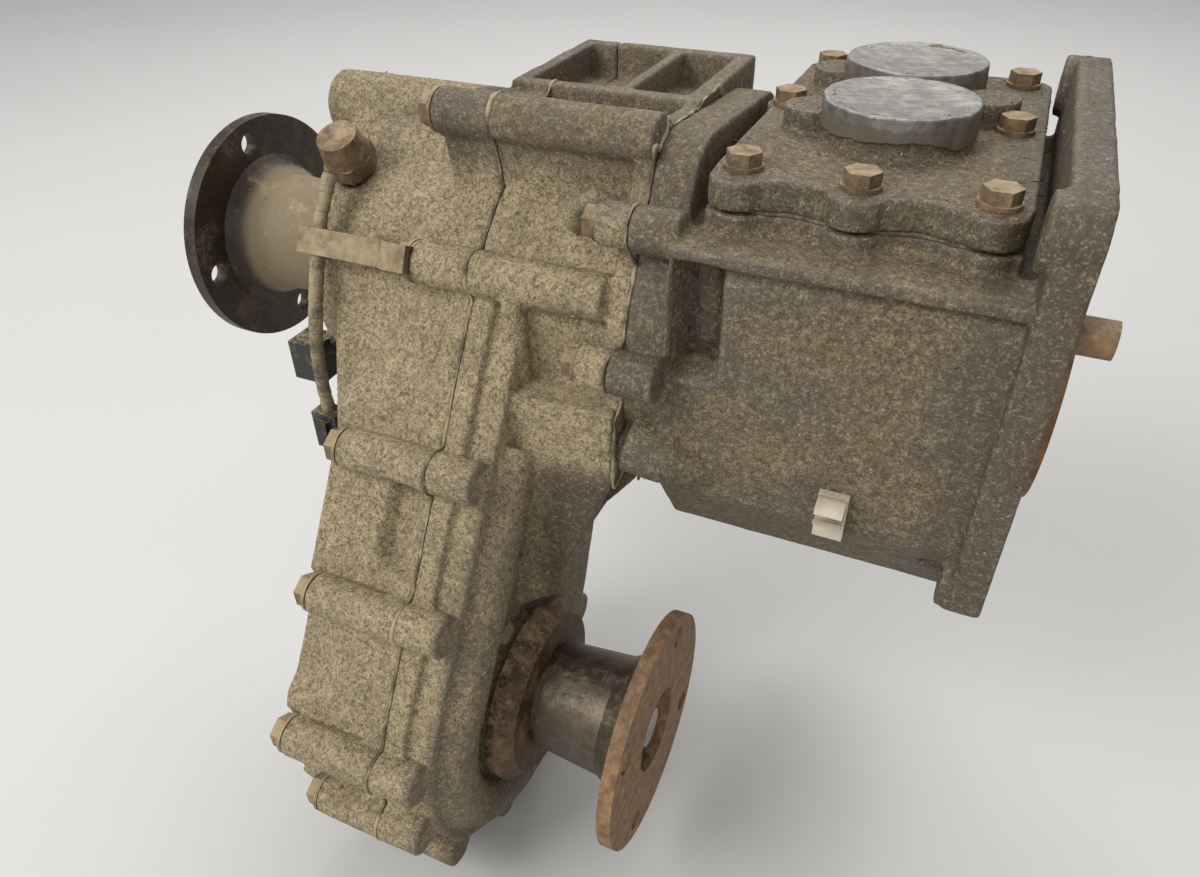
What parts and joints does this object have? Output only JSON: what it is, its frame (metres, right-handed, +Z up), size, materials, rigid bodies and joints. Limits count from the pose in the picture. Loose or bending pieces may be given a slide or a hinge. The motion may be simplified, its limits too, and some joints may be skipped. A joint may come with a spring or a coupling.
{
  "type": "transfer case",
  "caption": "Chain-drive two-speed four-wheel-drive transfer case with split alloy casings, shift cover, drive flanges, indicator switch and its taped lead.",
  "frame": {"origin": "on the main shaft's axis, at the face that bolts to the gearbox", "axes": "+X along the main shaft towards the gearbox, +Z up, +Y across, away from the front output"},
  "size_m": [0.413, 0.3266, 0.3856],
  "materials": {
    "sandy_casting": "rough sand-cast aluminium under caked dry road dirt",
    "dark_casting": "sand-cast aluminium darkened by oil and dirt",
    "dark_flange": "dark forged steel with a rusty rim",
    "rusty_flange": "forged steel with an even skin of orange-brown rust",
    "rusty_steel": "plain steel fasteners, rusty and dirty",
    "zinc_steel": "yellow-zinc steel, worn and dusty",
    "machined_steel": "machined and ground steel, oiled",
    "fork_alloy": "cast fork, oiled",
    "seal_rubber": "black nitrile rubber, dusty",
    "gasket_paper": "dark gasket with dried sealant",
    "silver_tape": "silver cloth tape, creased, ragged edge",
    "lead_tape": "black cloth tape wound round two wires, dusty",
    "black_plastic": "black moulded nylon, dusty",
    "white_plastic": "off-white moulded nylon"
  },
  "bodies": {
    "case": {"adaptor_bolts": "rusty_steel", "adaptor_housing": "dark_casting", "breather": "zinc_steel", "case_bolts": "zinc_steel", "control_cover": "dark_casting", "control_cover_bolts": "rusty_steel", "control_cover_gasket": "gasket_paper", "counter_bearing_outer_rings": "machined_steel", "detent_balls": "machined_steel", "detent_plugs": "machined_steel", "detent_springs": "machined_steel", "drain_plug": "rusty_steel", "drive_chain": "machined_steel", "filler_plug": "rusty_steel", "four_wd_switch": "zinc_steel", "front_bearing_outer_rings": "machined_steel", "front_case": "sandy_casting", "front_oil_seal": "seal_rubber", "gearbox_dowels": "rusty_steel", "harness_clip": "white_plastic", "input_bearing_outer_ring": "machined_steel", "input_bearing_retainer": "rusty_flange", "input_oil_seal": "seal_rubber", "lead_clip": "zinc_steel", "main_bearing_outer_rings": "machined_steel", "rear_case": "sandy_casting", "rear_oil_seal": "seal_rubber", "speed_sensor": "black_plastic", "switch_connector": "black_plastic", "switch_lead": "lead_tape", "top_case_bolt": "rusty_steel", "turret_tape": "silver_tape"},
    "rear_output": {"main_shaft": "machined_steel", "hi_lo_hub": "machined_steel", "four_wd_hub": "machined_steel", "main_bearing_inner_rings": "machined_steel", "needle_bearings": "machined_steel", "speed_rotor": "machined_steel", "rear_flange": "dark_flange", "rear_flange_nut": "rusty_steel", "rear_dust_shield": "dark_flange"},
    "front_output": {"front_output_shaft": "machined_steel", "driven_sprocket": "machined_steel", "front_bearing_inner_rings": "machined_steel", "front_flange": "rusty_flange", "front_flange_nut": "rusty_steel", "front_dust_shield": "rusty_flange"},
    "input": {"input_gear": "machined_steel", "input_bearing_inner_ring": "machined_steel"},
    "counter": {"counter_gear": "machined_steel", "counter_bearing_inner_rings": "machined_steel"},
    "low_gear_body": {"low_gear": "machined_steel"},
    "drive_sprocket_body": {"drive_sprocket": "machined_steel"},
    "hi_lo_sleeve_body": {"hi_lo_sleeve": "machined_steel"},
    "four_wd_sleeve_body": {"four_wd_sleeve": "machined_steel"},
    "hi_lo_shifter": {"hi_lo_rail": "machined_steel", "hi_lo_fork": "fork_alloy"},
    "four_wd_shifter": {"four_wd_rail": "machined_steel", "four_wd_fork": "fork_alloy"}
  },
  "joints": [
    {"name": "input_spin", "type": "hinge", "parent": "case", "child": "input", "pos_m": [0, 0, 0], "axis": [1, 0, 0], "continuous": true},
    {"name": "counter_spin", "type": "hinge", "parent": "case", "child": "counter", "pos_m": [0, 0.0682, -0.03938], "axis": [1, 0, 0], "continuous": true},
    {"name": "low_gear_spin", "type": "hinge", "parent": "case", "child": "low_gear_body", "pos_m": [0, 0, 0], "axis": [1, 0, 0], "continuous": true},
    {"name": "rear_output_spin", "type": "hinge", "parent": "case", "child": "rear_output", "pos_m": [0, 0, 0], "axis": [1, 0, 0], "continuous": true},
    {"name": "front_output_spin", "type": "hinge", "parent": "case", "child": "front_output", "pos_m": [0, -0.09546, -0.18654], "axis": [1, 0, 0], "continuous": true, "deforming": ["drive_chain"]},
    {"name": "drive_sprocket_spin", "type": "hinge", "parent": "case", "child": "drive_sprocket_body", "pos_m": [0, 0, 0], "axis": [1, 0, 0], "continuous": true},
    {"name": "hi_lo_shift", "type": "slide", "parent": "case", "child": "hi_lo_shifter", "axis": [1, 0, 0], "range_m": [-0.007, 0.007]},
    {"name": "hi_lo_sleeve_slide", "type": "slide", "parent": "rear_output", "child": "hi_lo_sleeve_body", "axis": [1, 0, 0], "range_m": [-0.007, 0.007]},
    {"name": "four_wd_shift", "type": "slide", "parent": "case", "child": "four_wd_shifter", "axis": [1, 0, 0], "range_m": [-0.007, 0]},
    {"name": "four_wd_sleeve_slide", "type": "slide", "parent": "rear_output", "child": "four_wd_sleeve_body", "axis": [1, 0, 0], "range_m": [-0.007, 0]}
  ],
  "couplings": [
    {"joint": "counter_spin", "follows": "input_spin", "ratio": -0.66667},
    {"joint": "low_gear_spin", "follows": "input_spin", "ratio": 0.5},
    {"joint": "drive_sprocket_spin", "follows": "front_output_spin", "ratio": 1},
    {"joint": "hi_lo_sleeve_slide", "follows": "hi_lo_shift", "ratio": 1},
    {"joint": "four_wd_sleeve_slide", "follows": "four_wd_shift", "ratio": 1}
  ]
}
